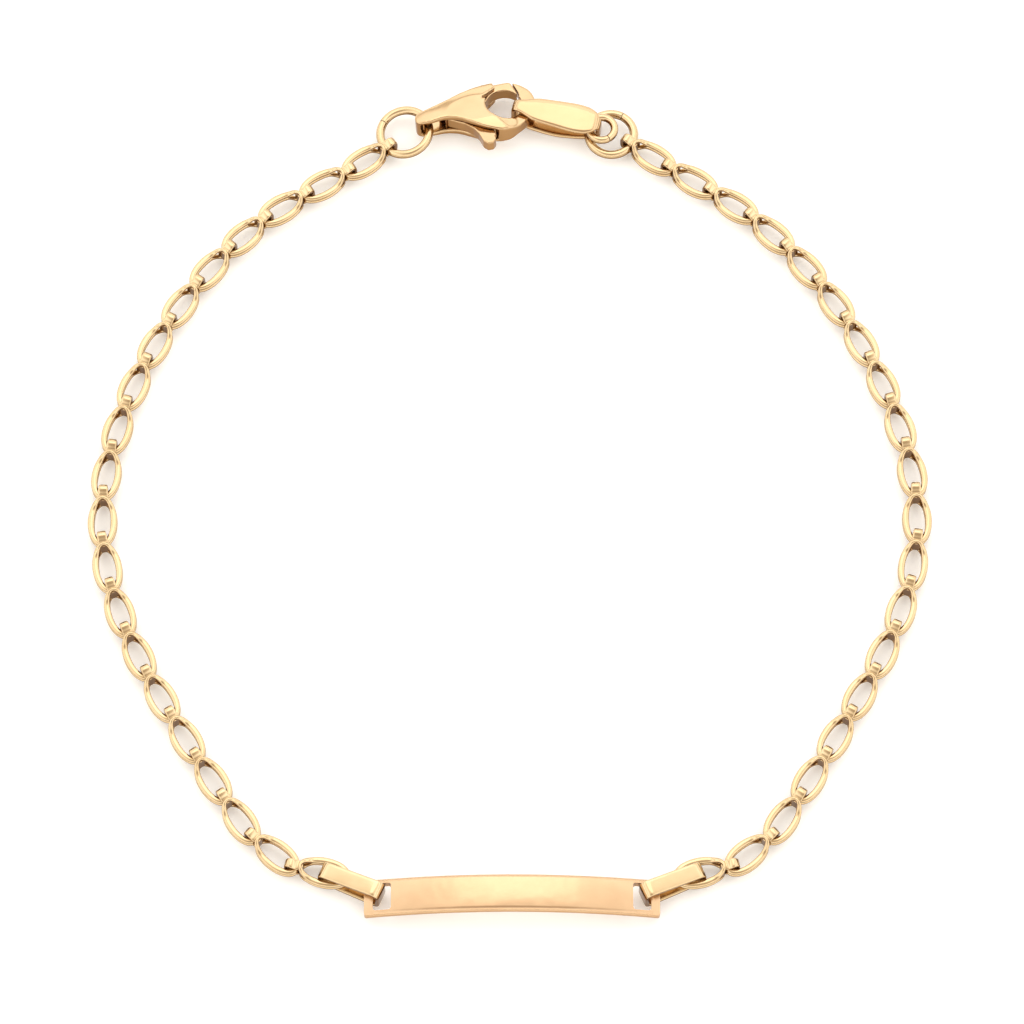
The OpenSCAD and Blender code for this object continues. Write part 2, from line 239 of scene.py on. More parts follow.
@dataclass(frozen=True)
class Station:
    """One section along a path: its middle, the path's direction there, and its two widths.

    Attributes:
        x: Place along X.
        y: Place along Y.
        z: Height.
        heading: Direction of the path, in degrees from +X.
        across: Width of the section in the plane of the path.
        tall: Width of the section along Z.
    """

    x: float
    y: float
    z: float
    heading: float
    across: float
    tall: float

    @property
    def point(self) -> Vector:
        """The section's middle."""
        return Vector((self.x, self.y, self.z))


def add_outline(name: str, wide: float, high: float) -> bpy.types.Object:
    """Adds a flat plate at the origin and opens it in edit mode, all selected.

    Args:
        name: The piece's name.
        wide: Length along X.
        high: Length along Y.

    Returns:
        The object in edit mode.
    """
    hold()
    bpy.ops.mesh.primitive_plane_add(size=1, location=ORIGIN)
    obj = bpy.context.object
    obj.name = name
    edit(obj)
    stretch((wide, high, 1), ORIGIN)
    return obj


def close_ends(bridged: bool) -> None:
    """Joins the two open ends of the mesh that is being edited, or gives each of them a cap.

    Args:
        bridged: Whether the ends are joined to each other.
    """
    bpy.ops.mesh.select_mode(type="EDGE")
    bpy.ops.mesh.select_all(action="DESELECT")
    bpy.ops.mesh.select_non_manifold()
    if bridged:
        bpy.ops.mesh.bridge_edge_loops()
    else:
        bpy.ops.mesh.fill_holes(sides=0)


def sweep(name: str, stations: Sequence[Station], corner: float,
          closed: bool = True) -> bpy.types.Object:
    """Extrudes a rounded rectangle from station to station.

    Args:
        name: The piece's name.
        stations: The sections along the path.
        corner: Radius of the section's corners.
        closed: Whether the last section leads back to the first one.

    Returns:
        The swept piece, closed all round.
    """
    first = stations[0]
    obj = add_outline(name, first.tall, first.across)
    bpy.ops.mesh.bevel(offset=corner, offset_type="OFFSET", segments=2, affect="VERTICES")
    bpy.ops.mesh.delete(type="ONLY_FACE")
    bpy.ops.mesh.select_all(action="SELECT")
    turn(90, "Y", ORIGIN)
    turn(first.heading, "Z", ORIGIN)
    slide(first.point)
    for before, after in zip(stations, stations[1:]):
        bpy.ops.mesh.extrude_region_move(
            TRANSFORM_OT_translate={"value": tuple(after.point - before.point)}
        )
        turn(-before.heading, "Z", after.point)
        stretch((1, after.across / before.across, after.tall / before.tall), after.point)
        turn(after.heading, "Z", after.point)
    close_ends(bridged=closed)
    return close_up(obj)


def stand_up(obj: bpy.types.Object) -> bpy.types.Object:
    """Turns a piece that was swept lying down so that its Y leads upwards.

    Args:
        obj: The piece.

    Returns:
        The same piece.
    """
    hold(obj)
    obj.rotation_euler = (math.pi / 2, 0, 0)
    bpy.ops.object.transform_apply(location=False, rotation=True, scale=False)
    return obj


@dataclass(frozen=True)
class Bend:
    """One corner of a bent strap, seen from the side.

    Attributes:
        x: Place of the sharp corner along the strap.
        z: Height of the sharp corner.
    """

    x: float
    z: float


def bent_strap(
    name: str, bends: Sequence[Bend], radius: float, metal: float,
    width: Callable[[float, float], float], corner: float, leg_steps: int = 3,
) -> bpy.types.Object:
    """Sweeps a closed strap round four bends, standing on its lower leg.

    Args:
        name: The piece's name.
        bends: The sharp corners of its middle line, counter-clockwise seen from -Y.
        radius: Radius of the middle line at a bend.
        metal: Thickness of the metal.
        width: Gives the strap's width at a place and height.
        corner: Radius of the section's corners.
        leg_steps: Sections along each straight leg.

    Returns:
        The strap.
    """
    arc_steps = 6
    path: list[tuple[float, float, float]] = []
    count = len(bends)
    for i, bend in enumerate(bends):
        here = Vector((bend.x, bend.z))
        back = (Vector((bends[i - 1].x, bends[i - 1].z)) - here).normalized()
        ahead = (Vector((bends[(i + 1) % count].x, bends[(i + 1) % count].z)) - here).normalized()
        half = back.angle(ahead) / 2
        centre = here + (back + ahead).normalized() * radius / math.sin(half)
        start = math.atan2(-back.y, -back.x)
        swing = math.pi - 2 * half
        for step in range(arc_steps + 1):
            way = start + swing * step / arc_steps
            path.append((centre.x + radius * math.sin(way), centre.y - radius * math.cos(way), way))
        leave = here + ahead * radius / math.tan(half)
        far = bends[(i + 1) % count]
        following = Vector((far.x, far.z))
        onward = Vector((bends[(i + 2) % count].x, bends[(i + 2) % count].z)) - following
        half_far = (-ahead).angle(onward.normalized()) / 2
        reach = following - ahead * radius / math.tan(half_far)
        for step in range(1, leg_steps + 1):
            middle = leave.lerp(reach, step / (leg_steps + 1))
            path.append((middle.x, middle.y, start + swing))
    stations = [
        Station(x, z, 0, math.degrees(way), metal, width(x, z)) for x, z, way in path
    ]
    return stand_up(sweep(name, stations, corner))


# Finishes


def linear(colour: str) -> tuple[float, float, float, float]:
    """Turns an sRGB hex colour into the linear values that a shader takes.

    Args:
        colour: Six hex digits after a hash.

    Returns:
        Red, green, blue and 1.
    """
    parts = [int(colour[i:i + 2], 16) / 255 for i in (1, 3, 5)]
    bright = [c / 12.92 if c <= 0.04045 else ((c + 0.055) / 1.055) ** 2.4 for c in parts]
    return (bright[0], bright[1], bright[2], 1.0)


def add_node(tree: bpy.types.NodeTree, kind: str, links: dict[str, Any] | None = None,
             **settings: Any) -> bpy.types.Node:
    """Adds a node with its settings, socket values and links.

    Args:
        tree: The node tree.
        kind: The node's type.
        links: Input sockets by name, each with a value or with the socket that feeds it.
        settings: The node's own properties.

    Returns:
        The node.
    """
    node = tree.nodes.new(kind)
    for key, value in settings.items():
        setattr(node, key, value)
    for key, value in (links or {}).items():
        if isinstance(value, bpy.types.NodeSocket):
            tree.links.new(value, node.inputs[key])
        else:
            node.inputs[key].default_value = value
    return node


def add_ramp(tree: bpy.types.NodeTree, value: bpy.types.NodeSocket,
             stops: Sequence[tuple[float, str]]) -> bpy.types.NodeSocket:
    """Adds a colour ramp.

    Args:
        tree: The node tree.
        value: The socket that the ramp reads.
        stops: Places from 0 to 1 with their sRGB hex colours.

    Returns:
        The ramp's colour socket.
    """
    node = add_node(tree, "ShaderNodeValToRGB", {"Fac": value})
    elements = node.color_ramp.elements
    while len(elements) < len(stops):
        elements.new(0.5)
    for element, (place, colour) in zip(elements, stops):
        element.position = place
        element.color = linear(colour)
    return node.outputs["Color"]


@dataclass(frozen=True)
class PolishedGold:
    """A nine carat gold alloy, cast or stamped and then polished on a buff.

    The eye gets soft mirror reflections with a slight haze, faint buffing marks and a gentle
    unevenness of the sheet. Steep walls get painted shade: a darker colour by their steepness.

    Attributes:
        name: The material's name.
        light: The alloy's colour, as sRGB hex.
        deep: Its colour where the buff has left it a little redder.
        wall: Painted shade on the steep walls, a darker tint that stands in for the dim surroundings
            they reflect.
        roughness: The haze of the polish.
        ripple: Size of the sheet's unevenness, in millimetres.
        ripple_depth: Strength of that unevenness.
        grain: Spacing of the buffing marks, in millimetres, drawn coarse enough to show.
        grain_depth: Strength of the buffing marks.
        haze: Lowest and highest roughness across the marks, as shares.
        patch: Size of the redder patches, in millimetres.
    """

    name: str
    light: str
    deep: str
    wall: str = "#BCA078"
    roughness: float = 0.16
    ripple: float = 1.4
    ripple_depth: float = 0.03
    grain: float = 0.22
    grain_depth: float = 0.002
    haze: tuple[float, float] = (0.96, 1.05)
    patch: float = 3.0

    def make(self) -> bpy.types.Material:
        """Builds the material.

        Returns:
            The material.
        """
        material = bpy.data.materials.new(self.name)
        material.use_nodes = True
        tree = material.node_tree
        shader = tree.nodes["Principled BSDF"]
        shader.inputs["Metallic"].default_value = 1.0
        place = add_node(tree, "ShaderNodeTexCoord").outputs["Object"]
        patches = add_node(tree, "ShaderNodeTexNoise", {
            "Vector": place, "Scale": 1 / (self.patch * MM), "Detail": 3.0, "Roughness": 0.55})
        metal = add_ramp(tree, patches.outputs["Fac"], ((0.3, self.deep), (0.7, self.light)))
        # Painted shade: the steeper a face, the more of the darker wall colour it gets, standing in for
        # the dim surroundings that steep walls reflect
        facing = add_node(tree, "ShaderNodeNewGeometry").outputs["Normal"]
        upright = add_node(tree, "ShaderNodeSeparateXYZ", {"Vector": facing})
        steep = add_node(tree, "ShaderNodeMath", {0: upright.outputs["Z"]}, operation="ABSOLUTE")
        wall_shade = add_ramp(tree, steep.outputs["Value"], ((0.08, self.wall), (0.6, "#FFFFFF")))
        wall_shaded_metal = add_node(tree, "ShaderNodeMix", {"Factor": 1.0, 6: metal, 7: wall_shade},
                          data_type="RGBA", blend_type="MULTIPLY")
        tree.links.new(wall_shaded_metal.outputs[2], shader.inputs["Base Color"])
        marks = add_node(tree, "ShaderNodeTexNoise", {
            "Vector": place, "Scale": 1 / (self.grain * MM), "Detail": 2.0})
        haze = add_node(tree, "ShaderNodeMapRange", {
            "Value": marks.outputs["Fac"], "From Min": 0.3, "From Max": 0.7,
            "To Min": self.roughness * self.haze[0], "To Max": self.roughness * self.haze[1]})
        tree.links.new(haze.outputs["Result"], shader.inputs["Roughness"])
        waves = add_node(tree, "ShaderNodeTexNoise", {
            "Vector": place, "Scale": 1 / (self.ripple * MM), "Detail": 1.0})
        sheet = add_node(tree, "ShaderNodeBump", {
            "Height": waves.outputs["Fac"], "Strength": self.ripple_depth,
            "Distance": self.ripple * MM})
        fine = add_node(tree, "ShaderNodeBump", {
            "Height": marks.outputs["Fac"], "Strength": self.grain_depth,
            "Distance": self.grain * MM, "Normal": sheet.outputs["Normal"]})
        tree.links.new(fine.outputs["Normal"], shader.inputs["Normal"])
        return material


@dataclass(frozen=True)
class MattPaper:
    """The pale, matt, slightly mottled paper that the bracelet lies on, lit a little from below.

    Attributes:
        name: The material's name.
        light: The paper's colour, as sRGB hex.
        shade: Its colour where it is a little darker.
        glow: Strength of the light that comes through it.
        roughness: How matt it is.
        gloss: Its specular level.
        mottle: Size of the mottling, in millimetres.
    """

    name: str = "matt_white_paper"
    light: str = "#FBFBFA"
    shade: str = "#F6F6F4"
    glow: float = 0.14
    roughness: float = 0.85
    gloss: float = 0.2
    mottle: float = 50 / 3

    def make(self) -> bpy.types.Material:
        """Builds the material.

        Returns:
            The material.
        """
        material = bpy.data.materials.new(self.name)
        material.use_nodes = True
        tree = material.node_tree
        shader = tree.nodes["Principled BSDF"]
        shader.inputs["Roughness"].default_value = self.roughness
        shader.inputs["Specular IOR Level"].default_value = self.gloss
        shader.inputs["Emission Color"].default_value = linear(self.light)
        shader.inputs["Emission Strength"].default_value = self.glow
        place = add_node(tree, "ShaderNodeTexCoord").outputs["Object"]
        mottle = add_node(tree, "ShaderNodeTexNoise", {
            "Vector": place, "Scale": 1 / (self.mottle * MM), "Detail": 3.0})
        tint = add_ramp(tree, mottle.outputs["Fac"], ((0.0, self.shade), (1.0, self.light)))
        tree.links.new(tint, shader.inputs["Base Color"])
        return material


@dataclass
class Finishes:
    """The bracelet's metals, each made once."""

    # The fourth colour of each gold is the painted shade on its steep walls; the cast gold takes the
    # default one
    chain: bpy.types.Material = field(default_factory=lambda: PolishedGold(
        "polished_yellow_gold", "#DCC299", "#D5B98F", "#8C7048").make())
    plate: bpy.types.Material = field(default_factory=lambda: PolishedGold(
        "satin_rolled_rose_gold", "#D8B690", "#D4B08A", "#D8C8AE", roughness=0.26).make())
    cast: bpy.types.Material = field(default_factory=lambda: PolishedGold(
        "polished_cast_gold", "#D2B48B", "#CCAC83", roughness=0.15).make())


def dress(obj: bpy.types.Object, material: bpy.types.Material, body: Body, slot: Slot,
          *nodes: str) -> None:
    """Gives a finished piece its metal and its place in the frame's table.

    Args:
        obj: The piece, in place.
        material: Its metal.
        body: The body that it rides on.
        slot: Not used.
        nodes: The frame's nodes that it stands for.
    """
    obj.data.materials.clear()
    obj.data.materials.append(material)
    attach(obj, body.value)
    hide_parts(*nodes)


def middle_of(node: str) -> Vector:
    """The middle of a node's box, in metres."""
    low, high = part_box(node)
    return (low + high) / 2


def heading_of(degrees: float) -> Vector:
    """The level direction at an angle from +X."""
    return Vector((math.cos(math.radians(degrees)), math.sin(math.radians(degrees)), 0))


def at(point: Vector, degrees: float) -> Matrix:
    """A place at a point, turned about the vertical."""
    return Matrix.Translation(point) @ Matrix.Rotation(math.radians(degrees), 4, "Z")


# Sub-assemblies


@dataclass
class Chain:
    """The two rows of folded double-loop links.

    A link is two almond rings, one on the other, that part near their strap and rise into it; the
    strap bends round the loop ends of the link before, and a wall closes it behind them. Sizes are
    counted from the strap's seat, along the link.
    """

    per_side: int = 20
    pitch: float = 3.65
    width: float = 2.16
    opening_width: float = 1.17
    outline_power: float = 2.1
    near_fullness: float = 0.52
    far_fullness: float = 0.48
    far_opening_power: float = 2.3
    near: float = 0.66
    crotch: float = 0.92
    far_opening: float = 3.95
    far: float = 4.45
    widest_opening: float = 2.6
    metal: float = 0.32
    half_gap: float = 0.04
    ring_corner: float = 0.11
    strap_width: float = 0.74
    strap_corner: float = 0.07
    strap_path: tuple[tuple[float, float, float], ...] = (
        (0.8, 0.52, 0.18), (0.6, 0.51, 0.18), (0.46, 0.54, 0.22), (0.3, 0.61, 0.29),
        (0.12, 0.665, 0.33), (-0.04, 0.6, 0.34), (-0.135, 0.47, 0.34), (-0.17, 0.28, 0.34),
    )
    bend_from: float = 0.1
    bend_share: float = 0.86
    wall_size: tuple[float, float, float] = (0.12, 0.96, 1.12)
    wall_x: float = 0.93
    crown_x: float = 0.16
    near_rise: float = 0.42
    rise_from: float = 1.6
    rise_to: float = 0.8
    steps: int = 36

    def ring_station(self, degrees: float, side: int) -> Station:
        """The section of a ring at an angle, counted from the strap.

        Args:
            degrees: The angle round the ring.
            side: 1 for the upper ring, -1 for the lower one.

        Returns:
            The section there, from the outer outline to the opening.
        """
        along = -math.cos(math.radians(degrees))
        hand = 1 if degrees <= 180 else -1
        fullness = self.near_fullness if along < 0 else self.far_fullness
        outer = Vector((
            (self.near + self.far) / 2 + along * (self.far - self.near) / 2,
            hand * self.width / 2 * max(0.0, 1 - abs(along) ** self.outline_power) ** fullness,
        ))
        if along < 0:
            inner_x = self.widest_opening + along * (self.widest_opening - self.crotch)
            inner_y = self.opening_width / 2 * math.sqrt(1 - along * along)
        else:
            inner_x = self.widest_opening + along * (self.far_opening - self.widest_opening)
            power = self.far_opening_power
            inner_y = self.opening_width / 2 * max(0.0, 1 - along ** power) ** (1 / power)
        inner = Vector((inner_x, hand * inner_y))
        middle = (outer + inner) / 2
        span = outer - inner
        heading = math.degrees(math.atan2(-span.x, span.y))
        share = min(1.0, max(0.0, (self.rise_from - middle.x) / (self.rise_from - self.rise_to)))
        lift = self.near_rise * share * share * (3 - 2 * share)
        height = self.half_gap + self.metal / 2 + lift
        return Station(middle.x, middle.y, side * height, heading, span.length, self.metal)

    def build_ring(self, side: int) -> bpy.types.Object:
        """Sweeps one of the two rings."""
        stations = [self.ring_station(360 * i / self.steps, side) for i in range(self.steps)]
        return smooth(sweep("link_ring", stations, self.ring_corner))

    def build_strap(self) -> bpy.types.Object:
        """Sweeps the strap round its bend, from inside one ring to inside the other.

        Returns:
            The strap.
        """
        upper = list(self.strap_path)
        x, _, thick = upper[-1]
        path = upper + [(x, 0.0, thick)] + [(x, -z, thick) for x, z, thick in reversed(upper)]
        stations = []
        for i, (x, z, thick) in enumerate(path):
            x0, z0, _ = path[max(i - 1, 0)]
            x1, z1, _ = path[min(i + 1, len(path) - 1)]
            heading = math.degrees(math.atan2(z1 - z0, x1 - x0))
            # Narrower round the bend, so that the dome's edge is an arch
            width = self.strap_width * (1 if x > self.bend_from else self.bend_share)
            stations.append(Station(x, z, 0, heading, thick, width))
        return smooth(stand_up(sweep("strap", stations, self.strap_corner, closed=False)))

    def build_wall(self) -> bpy.types.Object:
        """Makes the wall that closes the strap behind the loops that it holds.

        Returns:
            The wall.
        """
        hold()
        bpy.ops.mesh.primitive_cube_add(size=1, location=ORIGIN)
        wall = bpy.context.object
        edit(wall)
        stretch(self.wall_size, ORIGIN)
        slide((self.wall_x, 0, 0))
        return close_up(wall)

    def build_link(self) -> bpy.types.Object:
        """Joins two rings and a strap into one link.

        Returns:
            The link, with its strap's seat at the origin.
        """
        link = self.build_ring(1)
        for other in (self.build_strap(), self.build_wall(), self.build_ring(-1)):
            combine(link, other, Cut.ADD)
        return smooth(link, levels=0)

    def place(self, node: str) -> Matrix:
        """Works a link's place out from the crown of its strap, the highest edge of its node.

        Args:
            node: The link's node.

        Returns:
            The place of the link's seat, with +X leading away from the strap.
        """
        points = [v.co.copy() for v in frame["nodes"][node].data.vertices]
        highest = max(p.z for p in points)
        crown = [p for p in points if p.z > highest - 1e-6]
        start = crown[0]
        end = max(crown, key=lambda p: (p - start).length)
        start = max(crown, key=lambda p: (p - end).length)
        middle = (start + end) / 2
        along = Vector((end.y - start.y, start.x - end.x, 0)).normalized()
        centre = middle_of(node)
        if along.dot(centre - middle) < 0:
            along.negate()
        seat = middle - along * self.crown_x * MM
        return at(Vector((seat.x, seat.y, centre.z)), math.degrees(math.atan2(along.y, along.x)))

    def build(self, finishes: Finishes) -> None:
        """Models one link and sets a copy at each node of both rows.

        Args:
            finishes: The bracelet's metals.
        """
        master = self.build_link()
        for row in ("left", "right"):
            for number in range(1, self.per_side + 1):
                node = f"link_{row}_{number:02d}"
                copy = bpy.data.objects.new(f"folded_{node}", master.data.copy())
                bpy.context.scene.collection.objects.link(copy)
                set_in_frame(copy, self.place(node))
                dress(copy, finishes.chain, Body.BRACELET, Slot.GOLD, node)
        bpy.data.objects.remove(master)
        log.info("chain: %d links", 2 * self.per_side)


@dataclass
class Bails:
    """The two closed straps that hang the plate from the chain."""

    inner_length: float = 4.1
    chain_height: float = 0.99
    plate_height: float = 1.79
    metal: float = 0.34
    width: float = 1.22
    bend: float = 0.24
    angle: float = 24
    corner: float = 0.09

    def build(self, finishes: Finishes) -> None:
        """Models both bails, each with its high end in the plate's slot.

        Args:
            finishes: The bracelet's metals.
        """
        out = self.metal / 2
        bends = [Bend(-out, -out), Bend(self.inner_length + out, -out),
                 Bend(self.inner_length + out, self.chain_height + out),
                 Bend(-out, self.plate_height + out)]
        for row, angle in (("left", 180 - self.angle), ("right", self.angle)):
            node = f"bail_{row}"
            bail = bent_strap(f"strap_{node}", bends, self.bend + out, self.metal,
                              lambda x, z: self.width, self.corner)
            smooth(bail)
            low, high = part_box(node)
            seat = (low + high) / 2 - heading_of(angle) * self.inner_length / 2 * MM
            seat.z = low.z + self.metal * MM
            set_in_frame(bail, at(seat, angle))
            dress(bail, finishes.chain, Body.BRACELET, Slot.GOLD, node)
        log.info("bails: 2")


@dataclass(frozen=True)
class JumpRing:
    """A jump ring of round wire whose two sawn ends meet.

    Attributes:
        node: The ring's node.
        outer: Outer diameter.
        wire: Diameter of the wire.
        joint: Where its ends meet, in degrees from +X.
        tilt: Lean about X and Y, in degrees.
        gap: The hairline between its ends.
        steps: Sections round the ring.
    """

    node: str
    outer: float
    wire: float
    joint: float
    tilt: tuple[float, float] = (0.0, 0.0)
    gap: float = 0.03
    steps: int = 64

    def build(self, finishes: Finishes) -> None:
        """Spins the wire round to its own start and sets the ring in place.

        Args:
            finishes: The bracelet's metals.
        """
        open_angle = self.gap / (self.outer / 2)
        hold()
        bpy.ops.mesh.primitive_circle_add(vertices=12, radius=self.wire / 2, location=ORIGIN)
        ring = bpy.context.object
        ring.name = f"wire_{self.node}"
        edit(ring)
        turn(90, "X", ORIGIN)
        slide(((self.outer - self.wire) / 2, 0, 0))
        bpy.ops.mesh.spin(steps=self.steps, angle=2 * math.pi - open_angle, center=ORIGIN,
                          axis=(0, 0, 1))
        close_ends(bridged=False)
        close_up(ring)
        modify(ring, "BEVEL", width=self.gap, segments=2, limit_method="ANGLE",
               angle_limit=math.radians(60))
        smooth(ring)
        lean = (Matrix.Rotation(math.radians(self.tilt[1]), 4, "Y")
                @ Matrix.Rotation(math.radians(self.tilt[0]), 4, "X"))
        turned = Matrix.Rotation(math.radians(self.joint), 4, "Z")
        set_in_frame(ring, Matrix.Translation(middle_of(self.node)) @ lean @ turned)
        dress(ring, finishes.chain, Body.BRACELET, Slot.GOLD, self.node)
        log.info("ring: %s", self.node)


@dataclass(frozen=True)
class TagShare:
    """One place along the tag: its half widths as shares from the strap's to the round end's.

    Attributes:
        along: Share of the tag's length.
        upper: Share of the widening of the upper leg.
        lower: Share of the widening of the lower leg.
    """

    along: float
    upper: float
    lower: float


@dataclass
class ClaspTag:
    """The folded tag between the clasp and the right ring, narrow at the clasp and round at its end."""

    inner_length: float = 6.15
    inner_height: float = 1.78
    metal: float = 0.36
    strap_width: float = 1.0
    end_width: float = 2.4
    bend: float = 0.24
    angle: float = -14
    ring_inner: float = 1.37
    ring_direction: float = -10
    ring_slack: float = 0.22
    corner: float = 0.15
    shape: tuple[TagShare, ...] = (
        TagShare(0, 0, 0), TagShare(0.1, 0.05, 0.05), TagShare(0.25, 0.6, 0.3),
        TagShare(0.5, 0.86, 0.45), TagShare(0.72, 1, 0.2), TagShare(0.86, 0.85, -0.1),
        TagShare(0.93, 0.45, -0.25), TagShare(0.97, -0.05, -0.3), TagShare(1, -0.42, -0.3),
    )

    def width(self, x: float, z: float) -> float:
        """Works the strap's width out from the shares along the tag.

        Args:
            x: Place of its middle line along X.
            z: Height of its middle line.

        Returns:
            The width there.
        """
        share = min(1.0, max(0.0, (x + self.metal) / (self.inner_length + 2 * self.metal)))
        rows = self.shape
        i = max(k for k in range(len(rows) - 1) if rows[k].along <= share)
        part = (share - rows[i].along) / (rows[i + 1].along - rows[i].along)
        leg = "upper" if z > self.inner_height / 2 else "lower"
        before, start, end, after = (
            getattr(rows[min(max(k, 0), len(rows) - 1)], leg) for k in range(i - 1, i + 3))
        # A smooth curve through the shares, as a bent batten takes
        wide = 0.5 * (2 * start + (end - before) * part
                      + (2 * before - 5 * start + 4 * end - after) * part ** 2
                      + (3 * start - before - 3 * end + after) * part ** 3)
        return self.strap_width + (self.end_width - self.strap_width) * wide

    def build(self, finishes: Finishes) -> None:
        """Models the tag and hangs it on the right ring.

        Args:
            finishes: The bracelet's metals.
        """
        out = self.metal / 2
        long, high = self.inner_length + out, self.inner_height + out
        bends = [Bend(-out, -out), Bend(long, -out), Bend(long, high), Bend(-out, high)]
        tag = bent_strap("folded_clasp_tag", bends, self.bend + out, self.metal, self.width,
                         self.corner, leg_steps=14)
        smooth(tag)
        ring = middle_of("ring_right")
        reach = self.ring_inner - self.ring_slack
        end = ring - heading_of(self.ring_direction) * reach * MM
        seat = end - heading_of(self.angle) * self.inner_length * MM
        seat.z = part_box("clasp_tag")[0].z + self.metal * MM
        set_in_frame(tag, at(seat, self.angle))
        dress(tag, finishes.cast, Body.BRACELET, Slot.ROSE_GOLD, "clasp_tag")
        log.info("tag")


@dataclass
class IdPlate:
    """The blank identity plate: a piece of a wide ring with a slot at each end."""

    length: float = 20.8
    width: float = 2.7
    metal: float = 0.8
    rise: float = 1.55
    corner: float = 0.28
    bevel: float = 0.34
    slot_length: float = 1.28
    slot_width: float = 1.96
    slot_end: float = 0.62
    slot_corner: float = 0.2
    edge: float = 0.05
    trim: float = 0.01
    steps: int = 72

    def rounded_block(self, name: str, x: float, size: tuple[float, float],
                      corner: float) -> bpy.types.Object:
        """Makes an upright block with rounded corners, taller than the plate.

        Args:
            name: The block's name.
            x: Its middle along X.
            size: Its length and width.
            corner: Radius of its corners.

        Returns:
            The block.
        """
        obj = add_outline(name, *size)
        bpy.ops.mesh.bevel(offset=corner, offset_type="OFFSET", segments=6, affect="VERTICES")
        slide((x, 0, -1))
        bpy.ops.mesh.extrude_region_move(TRANSFORM_OT_translate={"value": (0, 0, 2 * self.rise + 2)})
        return close_up(obj)

    def build(self, finishes: Finishes) -> None:
        """Models the plate about the middle of its underside's ends.

        Args:
            finishes: The bracelet's metals.
        """
        radius = (self.length ** 2 / 4 + self.rise ** 2) / (2 * self.rise)
        centre = (0.0, 0.0, self.rise - radius)
        half = math.degrees(math.asin(self.length / 2 / radius)) + 1
        plate = add_outline("curved_id_plate", self.metal, self.width)
        bpy.ops.mesh.bevel(offset=self.bevel, offset_type="OFFSET", segments=4, affect="VERTICES")
        bpy.ops.mesh.delete(type="ONLY_FACE")
        bpy.ops.mesh.select_all(action="SELECT")
        turn(90, "Y", ORIGIN)
        slide((0, 0, self.rise + self.metal / 2))
        turn(-half, "Y", centre)
        # The operator spins clockwise about its axis
        bpy.ops.mesh.spin(steps=self.steps, angle=math.radians(-2 * half), center=centre, axis=(0, 1, 0))
        close_ends(bridged=False)
        close_up(plate)
        blank = self.rounded_block("blank", 0, (self.length, self.width - self.trim), self.corner)
        combine(plate, blank, Cut.KEEP_SHARED)
        modify(plate, "BEVEL", width=self.edge, segments=2, limit_method="ANGLE",
               angle_limit=math.radians(50))
        for side in (-1, 1):
            x = side * (self.length / 2 - self.slot_end - self.slot_length / 2)
            slot = self.rounded_block("slot", x, (self.slot_length, self.slot_width), self.slot_corner)
            combine(plate, slot, Cut.TAKE_AWAY)
        smooth(plate, levels=0)
        low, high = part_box("id_plate")
        seat = (low + high) / 2
        seat.z = low.z
        set_in_frame(plate, at(seat, 0))
        dress(plate, finishes.plate, Body.BRACELET, Slot.ROSE_GOLD, "id_plate")
        log.info("plate")


